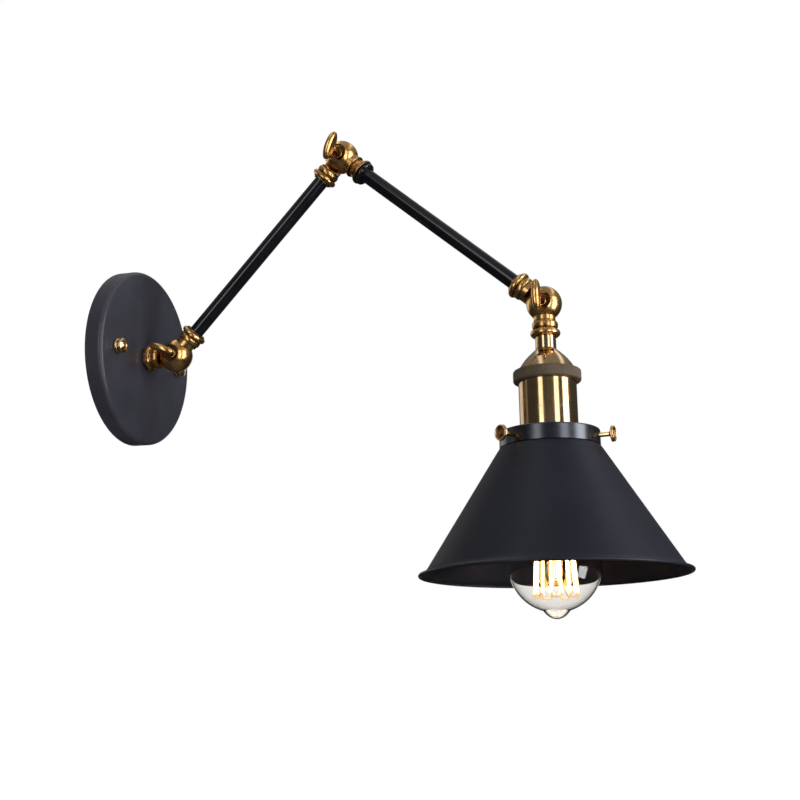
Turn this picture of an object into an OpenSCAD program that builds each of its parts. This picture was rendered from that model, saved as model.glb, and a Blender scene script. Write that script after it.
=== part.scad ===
// Swing-arm wall sconce: wall plate, two tube arms on knuckle joints, and a cone shade.
// The wall is the plane y = 0, the lamp reaches out along -Y, and +Z is up.

/* [Pose] */
// Angle of the lower arm above level, in degrees
lower_arm_angle = 47.5; // [30:0.5:60]
// Angle of the upper arm above level, in degrees (negative points down)
upper_arm_angle = -40; // [-55:0.5:-25]
// Angle of the lamp head above level, in degrees (-90 hangs straight down)
head_angle = -88.5; // [-100:0.5:-80]

/* [Wall plate] */
// Diameter of the wall plate
plate_d = 135; // [120:1:160]
// Depth of the wall plate from the wall to its face
plate_h = 14; // [12:0.5:18]
// Thickness of the plate's sheet
plate_wall = 1.5; // [1:0.1:2.5]
// Radius of the plate's rounded front edge
plate_edge_r = 3.5; // [2:0.5:6]
// Distance between the two cap nuts
stud_spacing = 92; // [80:1:98]
// Angle of the line through the two cap nuts, in degrees from level
stud_angle = 2; // [0:0.5:6]
// Radius of a stud
stud_r = 2; // [1.5:0.1:2.5]
// Radius of a cap nut
cap_nut_r = 5.6; // [4.5:0.1:7]
// Height of a cap nut
cap_nut_h = 6.8; // [5:0.1:9]
// Distance from a cap nut's centre to the crossbar's end
crossbar_end = 10; // [6:0.5:12]
// Width of the crossbar
crossbar_w = 24; // [20:1:30]
// Thickness of the crossbar
crossbar_h = 2; // [1.5:0.1:3]
// Distance between the two wall screw slots
slot_spacing = 60; // [54:1:66]
// Width of a wall screw slot
slot_w = 5; // [4:0.1:6]
// Length of a wall screw slot, end to end
slot_l = 14; // [10:0.5:16]
// Radius of the wire hole in the crossbar
wire_hole_r = 8; // [6.5:0.1:9]

/* [Knuckle joints] */
// Distance from the wall to the centre of the first joint
joint_out = 39; // [36:0.5:44]
// Radius of a joint's ball
ball_r = 12.6; // [12:0.1:14]
// Gap between the two halves of a joint, filled by the friction washer
joint_gap = 0.6; // [0.4:0.05:1]
// Radius of the neck under a ball
neck_r = 7.8; // [7:0.1:8.5]
// Radius of the round recess in each face of a ball
recess_r = 7; // [6.8:0.1:7.6]
// Distance from the joint's centre to the floor of a recess
recess_x = 6.6; // [6.4:0.1:8]
// Radius of the wire chamber in a ball
chamber_r = 8.6; // [8:0.1:9]
// Depth of the wire chamber in each half
chamber_h = 3.6; // [3:0.1:4]
// Radius of the hub round the screw in a chamber
hub_r = 4.2; // [3.6:0.1:4.8]
// Radius of the wire way from a chamber into an arm
wire_way_r = 2.1; // [1.5:0.1:2.2]
// Radius of a wing screw's shaft
screw_r = 2.5; // [2:0.1:2.8]
// Distance across the flats of a joint's nut
joint_nut_af = 8; // [7:0.1:9]
// Thickness of a joint's nut
joint_nut_h = 3.6; // [3:0.1:4]
// Length of a wing, tip to tip
wing_l = 22; // [18:0.5:28]
// Width of a wing along the screw
wing_w = 11; // [8:0.5:12]
// Thickness of a wing at its middle
wing_h = 5.2; // [4:0.1:6]
// Distance from the joint's centre to the middle of a wing
wing_x = 24; // [21:0.1:26]
// Radius of a wing screw's round foot
wing_foot_r = 4.8; // [4.2:0.1:6]

/* [Arms] */
// Length of tube that shows on each arm
tube_show = 150; // [120:1:200]
// Radius of a tube
tube_r = 5.5; // [4.8:0.1:6]
// Thickness of a tube's wall
tube_wall = 1; // [0.8:0.1:1.5]
// Depth of a tube's end in its socket
socket_depth = 8; // [6:0.5:9]
// Distance from a joint's centre to where the lower tube shows
lower_reach = 24.4; // [24.2:0.1:28]
// Distance from a joint's centre to where the upper tube shows
upper_reach = 26.8; // [26:0.1:30]
// Radius of the ring beside a ball
inner_ring_r = 8.7; // [8.6:0.1:10]
// Width of the ring beside a ball
inner_ring_w = 4.2; // [3.5:0.1:4.4]
// Radius of the ring beside a tube
outer_ring_r = 10; // [9:0.1:11]
// Width of the ring beside a tube
outer_ring_w = 4.4; // [3.5:0.1:4.6]
// Radius of the flared collar's rim
flare_r = 9.8; // [9:0.1:11]
// Radius of the black washer on the lower tube
tube_washer_r = 6.9; // [6.5:0.1:8]
// Thickness of the black washer
tube_washer_h = 0.9; // [0.6:0.1:1.2]
// Radius of the black bead on the upper tube
bead_r = 9; // [8:0.1:10]
// Width of the black bead
bead_w = 3.8; // [3:0.1:4.5]

/* [Lamp head] */
// Distance from the last joint to the lower end of its fitting
head_knuckle_l = 24.5; // [23.5:0.1:28]
// Radius of the fitting's upper ring
head_ring_r = 9.2; // [8.6:0.1:10]
// Radius of the fitting's lower ring
head_foot_r = 10.6; // [9.6:0.1:12]
// Radius of the plain stem
stem_r = 7.3; // [6.8:0.1:8]
// Length of the plain stem
stem_l = 9; // [7:0.1:15]
// Radius of the hollow threaded nipple
nipple_r = 5; // [4.6:0.1:5.2]
// Wall of the hollow threaded nipple
nipple_wall = 1; // [0.8:0.1:1.5]
// Height of the domed cap that shows
dome_h = 15.5; // [14:0.1:20]
// Radius of the domed cap at its rim
dome_r = 20.2; // [19.5:0.1:22]
// Thickness of the brass sheet
brass_wall = 1; // [0.8:0.1:1.3]
// Radius of the dark knurled ring
knurled_r = 23.7; // [22.5:0.1:26]
// Height of the dark knurled ring
knurled_h = 8; // [7:0.1:12]
// Height of the polished sleeve below the knurled ring
shell_show = 35.2; // [34:0.1:42]
// Radius of the lampholder's insert
insert_r = 18.2; // [17.8:0.1:18.6]
// Radius of the contact shell's bore
contact_bore_r = 13.3; // [13.25:0.05:13.6]
// Radius of the black fitter
fitter_r = 34.75; // [32:0.25:38]
// Height of the black fitter
fitter_h = 11; // [10:0.5:14]
// Thickness of the fitter's sheet
fitter_wall = 1.5; // [1:0.1:2]
// Direction of the first thumbscrew round the head, in degrees
thumb_angle = -94; // [-120:1:-60]
// Radius of a thumbscrew's shaft
thumb_shaft_r = 1.6; // [1.2:0.1:2]
// Radius of a thumbscrew's head
thumb_head_r = 5.6; // [4:0.1:6]
// Thickness of a thumbscrew's head
thumb_head_h = 2.8; // [2:0.1:3.5]
// Length of thumbscrew that shows, with its head
thumb_show = 11; // [8:0.1:14]

/* [Shade] */
// Diameter of the shade's rim
shade_d = 185; // [170:1:200]
// Height of the shade below the fitter
shade_h = 87.8; // [80:0.5:100]
// Thickness of the shade's sheet
shade_wall = 0.8; // [0.6:0.1:1.2]
// Width of the flared lip, measured along the radius
lip_w = 6.4; // [4:0.1:9]
// Height of the flared lip
lip_h = 6; // [4:0.1:9]
// Radius of the rolled edge
roll_r = 1.1; // [0.9:0.05:1.4]
// Gap between the shade's neck and the fitter
neck_gap = 0.9; // [0.6:0.1:1.4]

/* [Bulb] */
// Length of the bulb, contact to tip
bulb_l = 145; // [138:1:148]
// Radius of the bulb at its widest
bulb_r = 31.5; // [28:0.5:34]
// Radius of the screw base
base_r = 13; // [12.8:0.05:13.2]
// Height of the screw base
base_h = 25; // [23:0.5:26]
// Thickness of the glass
glass_wall = 0.9; // [0.7:0.1:1.2]
// Radius of the filament cage at its lower end
cage_r = 14.5; // [12:0.5:18]
// Number of filament strands
strand_count = 14; // [8:2:20]

/* [Hidden] */
$fn = 64;
overrun = 1; // how far a cut runs past a face
fit_clear = 0.05; // gap all round a seated or turning fit
ball_clear = 0.35; // gap between a ball and the opposite collar
seat_clear = 0.1; // gap between a turning piece and the face it rests on
hole_clear = 0.3; // gap all round a part that passes through sheet metal
arc_steps = 8; // straight steps in a rounded profile
wing_fn = 32;
hex_fn = 6;

// places of the joints
lower_arm_l = tube_show + 2 * lower_reach;
upper_arm_l = tube_show + 2 * upper_reach;
joint_1 = [0, -joint_out, 0];
joint_2 = joint_1 + lower_arm_l * [0, -cos(lower_arm_angle), sin(lower_arm_angle)];
joint_3 = joint_2 + upper_arm_l * [0, -cos(upper_arm_angle), sin(upper_arm_angle)];
wall_wing_angle = -69; // lean of each wing from upright, in degrees, away from the wall
elbow_wing_angle = 21;
head_wing_angle = -2;

// collars
collar_from = ball_r + ball_clear;
ring_gap = 0.8; // plain neck between a ball and a ring, and between two rings
flare_bead_w = 2; // width of the bead beside the flared collar
wire_way_x = joint_gap / 2 + wire_way_r + ring_gap;
wall_ring_share = 0.46; // share of the wall collar taken by the ring beside the plate
flare_neck_share = 0.9; // neck radius of the flared collar, of the plain neck

// wall plate fixings
nipple_in = 7; // depth of a threaded nipple in its fitting
locknut_af = 14;
locknut_h = 3;
washer_r = 9;
washer_h = 1;
earth_screw_x = 16;
earth_screw_z = 7;
earth_head_r = 3.4;
earth_head_h = 2.2;
earth_stem_h = 4;
cap_groove_share = 0.8; // radius of a cap nut's groove, of its own radius
cap_groove_at_share = 0.42; // height of the groove, of the nut's height
cap_groove_w_share = 0.16; // width of the groove, of the nut's height
stud_end_share = 0.6; // how far a stud runs into its cap nut, of the nut's height

// wing screws
wing_edge_share = 0.5; // thickness of a wing's edge, of its middle
wing_core_share = 0.62; // extent of a wing's thick middle, of its outline
wing_foot_h = 2.2;
wing_neck_r = 3;
screw_tail = 0.5; // screw thread past its nut

// friction washers lie between the wire chamber and the ball's edge
friction_in_r = chamber_r + hole_clear;
friction_out_r = ball_r - 2 * hole_clear;

// heights on the lamp head, measured from the last joint along the head's axis
stem_top = head_knuckle_l;
dome_top = stem_top + stem_l;
knurled_top = dome_top + dome_h;
shell_top = knurled_top + knurled_h / 2;
fitter_top = knurled_top + knurled_h + shell_show;
shade_top = fitter_top + fitter_h;
rim_at = shade_top + shade_h;
insert_drop = 16.8; // distance from the sleeve's top to the insert
insert_top = shell_top + insert_drop;
insert_wall = 3;
contact_h = 0.6;
contact_lift = 1.6; // height of the spring tongue over the insert
bulb_top = insert_top + insert_wall + contact_lift + contact_h;
bulb_tip = bulb_top + bulb_l;
button_h = 1.4;
insulator_h = 3.6;
dome_bulge_share = 0.11; // how far the dome swells past a straight cone, of its width
dome_drop = 1.5; // depth between the dome's outer and inner surface
shell_bead_r = 0.6; // how far the sleeve's lower bead stands out
shell_bead_w = 2.4;
knurled_edge = 1.2; // rounding of the knurled ring's edges
insert_foot = 6.5; // length of insert below the fitter's sheet
contact_l = 16;
contact_w = 5;
contact_shell_wall = 0.5;
clamp_ring_w = 4.5;
clamp_ring_h = 3.5;
shell_in_r = dome_r - brass_wall;
cap_nut_below = 4; // distance from the dome's top to the nut in it

// fitter, shade and thumbscrews
neck_out_r = fitter_r - fitter_wall - neck_gap;
neck_top = fitter_top + fitter_wall + hole_clear;
neck_lip = 0.6; // how far the neck's upper edge is rolled out
neck_lip_h = 0.8;
thumb_at = fitter_top + fitter_h / 2;
thumb_count = 3;
cone_end_r = shade_d / 2 - lip_w;
cone_end_at = rim_at - lip_h;
fitter_edge_r = 1.2;
boss_wall = 0.7;
boss_r = thumb_shaft_r + boss_wall; // threaded boss inside the fitter behind each thumbscrew
boss_h = neck_gap - seat_clear;

// bulb
base_foot = bulb_top + button_h + insulator_h; // where the screw base starts
button_r = 4.5;
base_end = base_foot + base_h;
base_wall = 0.5;
thread_count = 5;
thread_depth = 0.7;
glass_neck_r = base_r - base_wall - thread_depth - hole_clear;
glass_in_base = 6;
shoulder_r = 14.6;
shoulder_h = 3; // distance from the screw base to the shoulder
shoulder_at = base_end + shoulder_h;
widest_drop = 35; // distance from the widest place to the tip
widest_at = bulb_tip - widest_drop;
pip_h = 5.6;
round_end = bulb_tip - pip_h;
pip_r = 8.2;
pip_tip_r = 1.2;
pip_pull_share = 0.7; // how far the pip curves in before it reaches its tip
glass_lower_pull_share = 0.55; // pull of the curve at the widest place, of the bulb's straight height
glass_upper_pull_share = 0.3; // pull of the curve at the shoulder
glass_steps = 14;
stem_foot_r = glass_neck_r - glass_wall - fit_clear; // the stem's flare sits in the glass neck
stem_foot_in = 4; // depth of the flare in the screw base
stem_foot_at = base_end - stem_foot_in;
stem_waist_r = 3.2;
stem_waist_h = 20; // distances from the screw base's end, towards the tip
cage_top_h = 33;
stem_waist_at = base_end + stem_waist_h;
cage_top_at = base_end + cage_top_h;
stem_end_drop = 24; // distances from the tip, back towards the base
cage_end_drop = 15;
stem_end = bulb_tip - stem_end_drop;
cage_end = bulb_tip - cage_end_drop;
stem_button_r = 4;
cage_top_r = 8;
strand_r = 0.4;
hook_r = 0.3;

// Half an oval from radius r0 out to r1 and back, between the heights z0 and z1
function swell(z0, z1, r0, r1, n = arc_steps) =
    [for (i = [0:n]) let (a = 180 * i / n)
        [r0 + (r1 - r0) * sin(a), z0 + (z1 - z0) * (1 - cos(a)) / 2]];
// An arc of radius r about [x, z] from angle a to angle b
function arc(x, z, r, a, b, n = arc_steps) =
    [for (i = [0:n]) let (t = a + (b - a) * i / n) [x + r * cos(t), z + r * sin(t)]];
// A cubic curve from p to q, pulled towards the two points between
function pulled(p, p_pull, q_pull, q, n) =
    [for (i = [0:n]) let (t = i / n, s = 1 - t)
        s * s * s * p + 3 * s * s * t * p_pull + 3 * s * t * t * q_pull + t * t * t * q];
// A list in reverse order
function back(list) = [for (i = [len(list) - 1:-1:0]) list[i]];

module turned(outline) rotate_extrude() polygon(outline);

module ring(z, h, in_r, out_r) {
    translate([0, 0, z]) difference() {
        cylinder(r = out_r, h = h);
        translate([0, 0, -overrun]) cylinder(r = in_r, h = h + 2 * overrun);
    }
}

// A hexagon nut with a round bore, from z upwards
module hex_nut(z, h, flats, bore_r) {
    translate([0, 0, z]) difference() {
        cylinder(r = flats / 2 / cos(180 / hex_fn), h = h, $fn = hex_fn);
        translate([0, 0, -overrun]) cylinder(r = bore_r, h = h + 2 * overrun);
    }
}

// A round bar between two points
module rod(p, q, r) {
    d = q - p;
    translate(p) rotate([0, acos(d[2] / norm(d)), atan2(d[1], d[0])]) cylinder(r = r, h = norm(d));
}

// Places: out from the wall, along a direction that rises by an angle, and along the joint's screw
module out_from_wall() rotate([90, 0, 0]) children();
module rising(angle) rotate([90 - angle, 0, 0]) children();
module towards_wing(lean) rotate([lean, 0, 0]) rotate([0, -90, 0]) children();
module towards_nut() rotate([0, 90, 0]) children();
module on_head() translate(joint_3) rising(head_angle) children();
module stud_places() rotate([0, 0, stud_angle])
    for (s = [-1, 1]) translate([s * stud_spacing / 2, 0, 0]) children();

// Keeps what lies beside the wing, on the -X side of the joint's middle plane
module wing_half() {
    intersection() {
        children();
        translate([-joint_gap / 2 - 2 * ball_r, -2 * ball_r, -2 * ball_r])
            cube([2 * ball_r, 4 * ball_r, 4 * ball_r]);
    }
}

// Half a ball, its neck and its collar, from the joint's centre along +Z: side -1 is beside the
// wing and side 1 beside the nut. The collar's outline starts at collar_from, and a bore of
// bore_r runs from bore_at to the end.
module knuckle(side, outline, bore_r, bore_at, end) {
    mirror([side > 0 ? 1 : 0, 0, 0]) difference() {
        union() {
            wing_half() sphere(r = ball_r);
            wing_half() cylinder(r = neck_r, h = collar_from);
            turned(outline);
        }
        // wire chamber round the screw's hub
        translate([-joint_gap / 2, 0, 0]) rotate([0, -90, 0]) difference() {
            translate([0, 0, -joint_gap / 2]) cylinder(r = chamber_r, h = chamber_h + joint_gap / 2);
            translate([0, 0, -joint_gap]) cylinder(r = hub_r, h = chamber_h + joint_gap + overrun);
        }
        // screw hole and outer recess
        rotate([0, -90, 0]) {
            translate([0, 0, -overrun]) cylinder(r = screw_r + fit_clear, h = ball_r + 2 * overrun);
            translate([0, 0, recess_x]) cylinder(r = recess_r, h = ball_r);
        }
        // wire way and socket
        translate([-wire_way_x, 0, (hub_r + chamber_r) / 2]) cylinder(r = wire_way_r, h = end);
        translate([0, 0, bore_at]) cylinder(r = bore_r, h = end - bore_at + overrun);
    }
}

// Outline of an arm's collar: a plain neck, then two rings, whose tube end is at end
function arm_outline(end) = let (outer_from = end - ring_gap - outer_ring_w,
    inner_end = outer_from - fit_clear) concat(
    [[0, collar_from], [neck_r, collar_from]],
    swell(inner_end - inner_ring_w, inner_end, neck_r, inner_ring_r),
    swell(outer_from, end - ring_gap, neck_r, outer_ring_r),
    [[neck_r, end], [0, end]]);

// Outline of the flared collar: a bead, then a trumpet that opens to a rounded rim
function flare_outline(end) = let (r = neck_r * flare_neck_share, from = collar_from + flare_bead_w,
    rim = end - 2 * ring_gap) concat(
    [[0, collar_from], [neck_r, collar_from]],
    swell(collar_from, from, neck_r, inner_ring_r), [[r, from]],
    [for (i = [1:arc_steps]) let (t = i / arc_steps) [r + (flare_r - r) * t * t, from + (rim - from) * t]],
    arc(flare_r - ring_gap, end - ring_gap, ring_gap, 0, 90),
    [[0, end]]);

// Outline of the wall fitting's collar: a ring beside the ball and a foot ring on the plate
function wall_outline(end) = let (split = end - (end - collar_from) * wall_ring_share) concat(
    [[0, collar_from], [neck_r, collar_from]],
    swell(collar_from + ring_gap / 2, split - ring_gap / 2, neck_r, inner_ring_r),
    swell(split, end, neck_r, outer_ring_r),
    [[neck_r, end], [0, end]]);

// Outline of the head fitting's collar: two rings above the stem
function head_outline(end) = let (half = (end - collar_from - ring_gap) / 2) concat(
    [[0, collar_from], [neck_r, collar_from]],
    swell(collar_from + ring_gap / 2, collar_from + ring_gap / 2 + half, neck_r, head_ring_r),
    swell(end - half, end, neck_r, head_foot_r),
    [[neck_r, end], [0, end]]);

// Wall mount

module wall_plate() {
    r = plate_d / 2;
    er = plate_edge_r;
    color("#35343c") out_from_wall() difference() {
        turned(concat([[r - plate_wall, 0], [r, 0]], arc(r - er, plate_h - er, er, 0, 90),
            [[0, plate_h], [0, plate_h - plate_wall]],
            back(arc(r - er, plate_h - er, er - plate_wall, 0, 90))));
        cylinder(r = nipple_r + hole_clear, h = plate_h + overrun);
        stud_places() cylinder(r = stud_r + hole_clear, h = plate_h + overrun);
    }
}

module crossbar() {
    end_x = stud_spacing / 2 + crossbar_end - crossbar_w / 2;
    cut_h = crossbar_h + 2 * overrun;
    color("#b9b9b4") out_from_wall() difference() {
        union() {
            translate([-end_x, -crossbar_w / 2, 0]) cube([2 * end_x, crossbar_w, crossbar_h]);
            for (s = [-1, 1]) translate([s * end_x, 0, 0]) cylinder(r = crossbar_w / 2, h = crossbar_h);
        }
        translate([0, 0, -overrun]) {
            cylinder(r = wire_hole_r, h = cut_h);
            stud_places() cylinder(r = stud_r + fit_clear, h = cut_h);
            for (s = [-1, 1]) {
                for (e = [-1, 1]) translate([s * slot_spacing / 2 + e * (slot_l - slot_w) / 2, 0, 0])
                    cylinder(r = slot_w / 2, h = cut_h);
                translate([s * slot_spacing / 2 - (slot_l - slot_w) / 2, -slot_w / 2, 0])
                    cube([slot_l - slot_w, slot_w, cut_h]);
            }
            translate([earth_screw_x, earth_screw_z, 0]) cylinder(r = stud_r + fit_clear, h = cut_h);
        }
    }
}

module plate_studs() {
    color("#c9c4b4") out_from_wall() stud_places()
        cylinder(r = stud_r, h = plate_h + cap_nut_h * stud_end_share);
}

module cap_nuts() {
    groove_at = cap_nut_h * cap_groove_at_share;
    groove_w = cap_nut_h * cap_groove_w_share;
    groove_r = cap_nut_r * cap_groove_share;
    bore_h = cap_nut_h * stud_end_share + seat_clear;
    tier_from = groove_at + groove_w;
    color("#c8963c") out_from_wall() stud_places()
        translate([0, 0, plate_h]) difference() {
            turned(concat([[0, 0], [groove_r, 0]], swell(0, groove_at, groove_r, cap_nut_r),
                [[groove_r, tier_from]], swell(tier_from, cap_nut_h, groove_r, cap_nut_r),
                [[0, cap_nut_h]]));
            translate([0, 0, -overrun]) cylinder(r = stud_r + fit_clear, h = overrun + bore_h);
        }
}

module earth_screw() {
    color("#6f9a62") out_from_wall() translate([earth_screw_x, earth_screw_z, 0]) {
        cylinder(r = stud_r, h = earth_stem_h);
        translate([0, 0, earth_stem_h]) cylinder(r = earth_head_r, h = earth_head_h);
    }
}

module wall_knuckle() {
    end = joint_out - plate_h;
    color("#b08038") translate(joint_1) rising(180)
        knuckle(1, wall_outline(end), nipple_r + fit_clear, end - nipple_in, end);
}

module plate_nipple() {
    color("#b9a56a") out_from_wall() {
        foot = plate_h - plate_wall - washer_h - locknut_h - ring_gap;
        ring(foot, plate_h + nipple_in - seat_clear - foot, nipple_r - nipple_wall, nipple_r);
    }
}

module plate_washer() {
    from = plate_h - plate_wall - washer_h;
    color("#b9b9b4") out_from_wall() ring(from, washer_h, nipple_r + fit_clear, washer_r);
}

module plate_locknut() {
    color("#b9a56a") out_from_wall()
        hex_nut(plate_h - plate_wall - washer_h - locknut_h, locknut_h, locknut_af, nipple_r + fit_clear);
}

// Joint hardware, shared by the three joints

module friction_washer() {
    color("#3a2f28") rotate([0, 90, 0])
        ring(fit_clear - joint_gap / 2, joint_gap - 2 * fit_clear, friction_in_r, friction_out_r);
}

module joint_nut() {
    color("#a87a34") towards_nut() hex_nut(recess_x, joint_nut_h, joint_nut_af, screw_r + fit_clear);
}

module wing_screw(lean) {
    foot = recess_x + seat_clear;
    core_at = wing_x - wing_w / 2 * wing_core_share;
    color("#b98a40") towards_wing(lean) {
        translate([0, 0, -recess_x - joint_nut_h - screw_tail])
            cylinder(r = screw_r, h = 2 * recess_x + joint_nut_h + screw_tail + wing_foot_h);
        turned(concat([[0, foot], [wing_foot_r - ring_gap, foot]],
            swell(foot, foot + wing_foot_h, wing_foot_r - ring_gap, wing_foot_r),
            pulled([wing_foot_r - ring_gap, foot + wing_foot_h], [wing_neck_r, foot + wing_foot_h],
                [wing_neck_r, foot + wing_foot_h], [wing_neck_r, wing_x - wing_w / 2], arc_steps),
            [[wing_neck_r, core_at], [0, core_at]]));
        translate([0, 0, wing_x]) hull() {
            wing_slab(1, wing_edge_share);
            wing_slab(wing_core_share, 1);
        }
    }
}

// One flat oval of a wing, with shares of its outline and of its thickness
module wing_slab(outline_share, thickness_share) {
    r = wing_w / 2 * outline_share;
    rotate([90, 0, 0]) scale([wing_l / wing_w, 1, 1])
        cylinder(r = r, h = wing_h * thickness_share, center = true, $fn = wing_fn);
}

module wall_friction_washer() translate(joint_1) friction_washer();
module wall_joint_nut() translate(joint_1) joint_nut();
module wall_wing_screw() translate(joint_1) wing_screw(wall_wing_angle);
module elbow_friction_washer() translate(joint_2) friction_washer();
module elbow_joint_nut() translate(joint_2) joint_nut();
module elbow_wing_screw() translate(joint_2) wing_screw(elbow_wing_angle);
module head_friction_washer() translate(joint_3) friction_washer();
module head_joint_nut() translate(joint_3) joint_nut();
module head_wing_screw() translate(joint_3) wing_screw(head_wing_angle);

// Arms

// A tube whose ends sit in the collars of two joints
module tube(reach) {
    floor_at = reach - socket_depth;
    color("#17171a") ring(floor_at, tube_show + 2 * socket_depth, tube_r - tube_wall, tube_r);
}

module arm_knuckle(side, end, reach, outline) {
    color("#b08038") knuckle(side, outline, tube_r + fit_clear, reach - socket_depth - seat_clear, end);
}

module lower_arm_knuckle() translate(joint_1) rising(lower_arm_angle)
    arm_knuckle(-1, lower_reach, lower_reach, arm_outline(lower_reach));

module lower_tube() translate(joint_1) rising(lower_arm_angle) tube(lower_reach);

module lower_tube_washer() color("#17171a") translate(joint_2) rising(lower_arm_angle + 180)
    ring(lower_reach - tube_washer_h, tube_washer_h, tube_r + fit_clear, tube_washer_r);

module elbow_lower_knuckle() translate(joint_2) rising(lower_arm_angle + 180)
    arm_knuckle(1, lower_reach - tube_washer_h, lower_reach, arm_outline(lower_reach - tube_washer_h));

module elbow_upper_knuckle() translate(joint_2) rising(upper_arm_angle)
    arm_knuckle(-1, upper_reach - bead_w, upper_reach, flare_outline(upper_reach - bead_w));

module upper_tube_bead() {
    from = upper_reach - bead_w;
    color("#17171a") translate(joint_2) rising(upper_arm_angle) difference() {
        turned(concat([[0, from], [tube_r + ring_gap, from]],
            swell(from, upper_reach, tube_r + ring_gap, bead_r), [[0, upper_reach]]));
        translate([0, 0, from - overrun]) cylinder(r = tube_r + fit_clear, h = bead_w + 2 * overrun);
    }
}

module upper_tube() translate(joint_2) rising(upper_arm_angle) tube(upper_reach);

module upper_arm_knuckle() translate(joint_3) rising(upper_arm_angle + 180)
    arm_knuckle(1, upper_reach, upper_reach, arm_outline(upper_reach));

// Lamp head

module head_knuckle() {
    end = head_knuckle_l;
    color("#b08038") on_head()
        knuckle(-1, head_outline(end), nipple_r + fit_clear, end - nipple_in, end);
}

module head_stem() {
    color("#a07a3c") on_head() ring(stem_top, stem_l, nipple_r + hole_clear, stem_r);
}

module head_nipple() {
    from = head_knuckle_l - nipple_in + seat_clear;
    end = dome_top + cap_nut_below + locknut_h + ring_gap;
    color("#b9a56a") on_head() ring(from, end - from, nipple_r - nipple_wall, nipple_r);
}

module head_locknut() {
    color("#b9a56a") on_head()
        hex_nut(dome_top + cap_nut_below, locknut_h, locknut_af, nipple_r + fit_clear);
}

// The dome's outer radius at share t of its height
function dome_at(t) = stem_r + (dome_r - stem_r) * (t + dome_bulge_share * sin(180 * t));

module socket_cap() {
    skirt_end = shell_top;
    boss_end = dome_top + cap_nut_below;
    outer = [for (i = [0:arc_steps]) let (t = i / arc_steps) [dome_at(t), dome_top + dome_h * t]];
    inner = [for (i = [0:arc_steps - 1]) let (t = i / arc_steps)
        [dome_at(t) - brass_wall / 2, dome_top + dome_drop + dome_h * t]];
    bore = nipple_r + hole_clear;
    color("#8f6c34") on_head() union() {
        turned(concat([[bore, dome_top]], outer,
            [[dome_r, skirt_end], [shell_in_r, skirt_end], [shell_in_r, knurled_top]],
            back(inner), [[bore, dome_top + dome_drop]]));
        ring(dome_top, cap_nut_below, bore, stem_r);
    }
}

module knurled_ring() {
    e = knurled_edge;
    end = knurled_top + knurled_h;
    color("#4a4038") on_head() difference() {
        turned(concat([[0, knurled_top]], [[knurled_r - e, knurled_top]],
            arc(knurled_r - e, knurled_top + e, e, -90, 0), arc(knurled_r - e, end - e, e, 0, 90),
            [[0, end]]));
        translate([0, 0, knurled_top - overrun])
            cylinder(r = dome_r + fit_clear, h = knurled_h + 2 * overrun);
    }
}

module socket_shell() {
    bead_at = fitter_top - shell_bead_w;
    color("#9c7a3e") on_head() turned(concat(
        [[shell_in_r, shell_top], [dome_r, shell_top], [dome_r, bead_at]],
        swell(bead_at, fitter_top, dome_r, dome_r + shell_bead_r),
        [[shell_in_r, fitter_top]]));
}

module lampholder_insert() {
    end = fitter_top + fitter_wall + insert_foot;
    bore = contact_bore_r + contact_shell_wall + fit_clear;
    color("#e8e2d6") on_head() difference() {
        translate([0, 0, insert_top]) cylinder(r = insert_r, h = end - insert_top);
        translate([0, 0, insert_top + insert_wall]) cylinder(r = bore, h = end);
        for (s = [-1, 1]) translate([s * (contact_bore_r + contact_w) / 2, 0, insert_top - overrun])
            cylinder(r = wire_way_r, h = insert_wall + 2 * overrun);
    }
}

module contact_shell() {
    from = insert_top + insert_wall + contact_lift;
    end = fitter_top + insert_foot;
    color("#c9a75a") on_head() ring(from, end - from, contact_bore_r, contact_bore_r + contact_shell_wall);
}

module centre_contact() {
    from = insert_top + insert_wall;
    tongue_at = from + contact_lift - contact_h;
    color("#c9a75a") on_head() {
        translate([-contact_l / 2, -contact_w / 2, from]) cube([contact_w, contact_w, contact_lift]);
        translate([-contact_l / 2, -contact_w / 2, tongue_at]) cube([contact_l, contact_w, contact_h]);
        translate([0, 0, tongue_at]) cylinder(r = contact_w / 2, h = 2 * contact_h);
    }
}

module shade_fitter() {
    r = fitter_r;
    e = fitter_edge_r;
    in_r = r - fitter_wall;
    top_in = fitter_top + fitter_wall;
    color("#2b2b30") on_head() difference() {
        union() {
            turned(concat([[0, fitter_top], [r - e, fitter_top]], arc(r - e, fitter_top + e, e, -90, 0),
                [[r, shade_top], [in_r, shade_top], [in_r, top_in], [0, top_in]]));
            for (i = [0:thumb_count - 1]) thumb_place(i)
                translate([0, 0, in_r - boss_h]) cylinder(r = boss_r, h = boss_h + fitter_wall / 2);
        }
        translate([0, 0, fitter_top - overrun])
            cylinder(r = insert_r + hole_clear, h = fitter_wall + 2 * overrun);
        for (i = [0:thumb_count - 1]) thumb_place(i)
            translate([0, 0, in_r - 2 * boss_h])
                cylinder(r = thumb_shaft_r + fit_clear, h = fitter_wall + 3 * boss_h);
    }
}

module clamp_ring() {
    color("#d8d2c4") on_head()
        ring(fitter_top + fitter_wall, clamp_ring_h, insert_r + fit_clear, insert_r + clamp_ring_w);
}

// A thumbscrew's place: its axis is +Z, outwards from the head's axis
module thumb_place(i) {
    translate([0, 0, thumb_at]) rotate([0, 0, -thumb_angle + i * 360 / thumb_count])
        rotate([0, 90, 0]) children();
}

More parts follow.
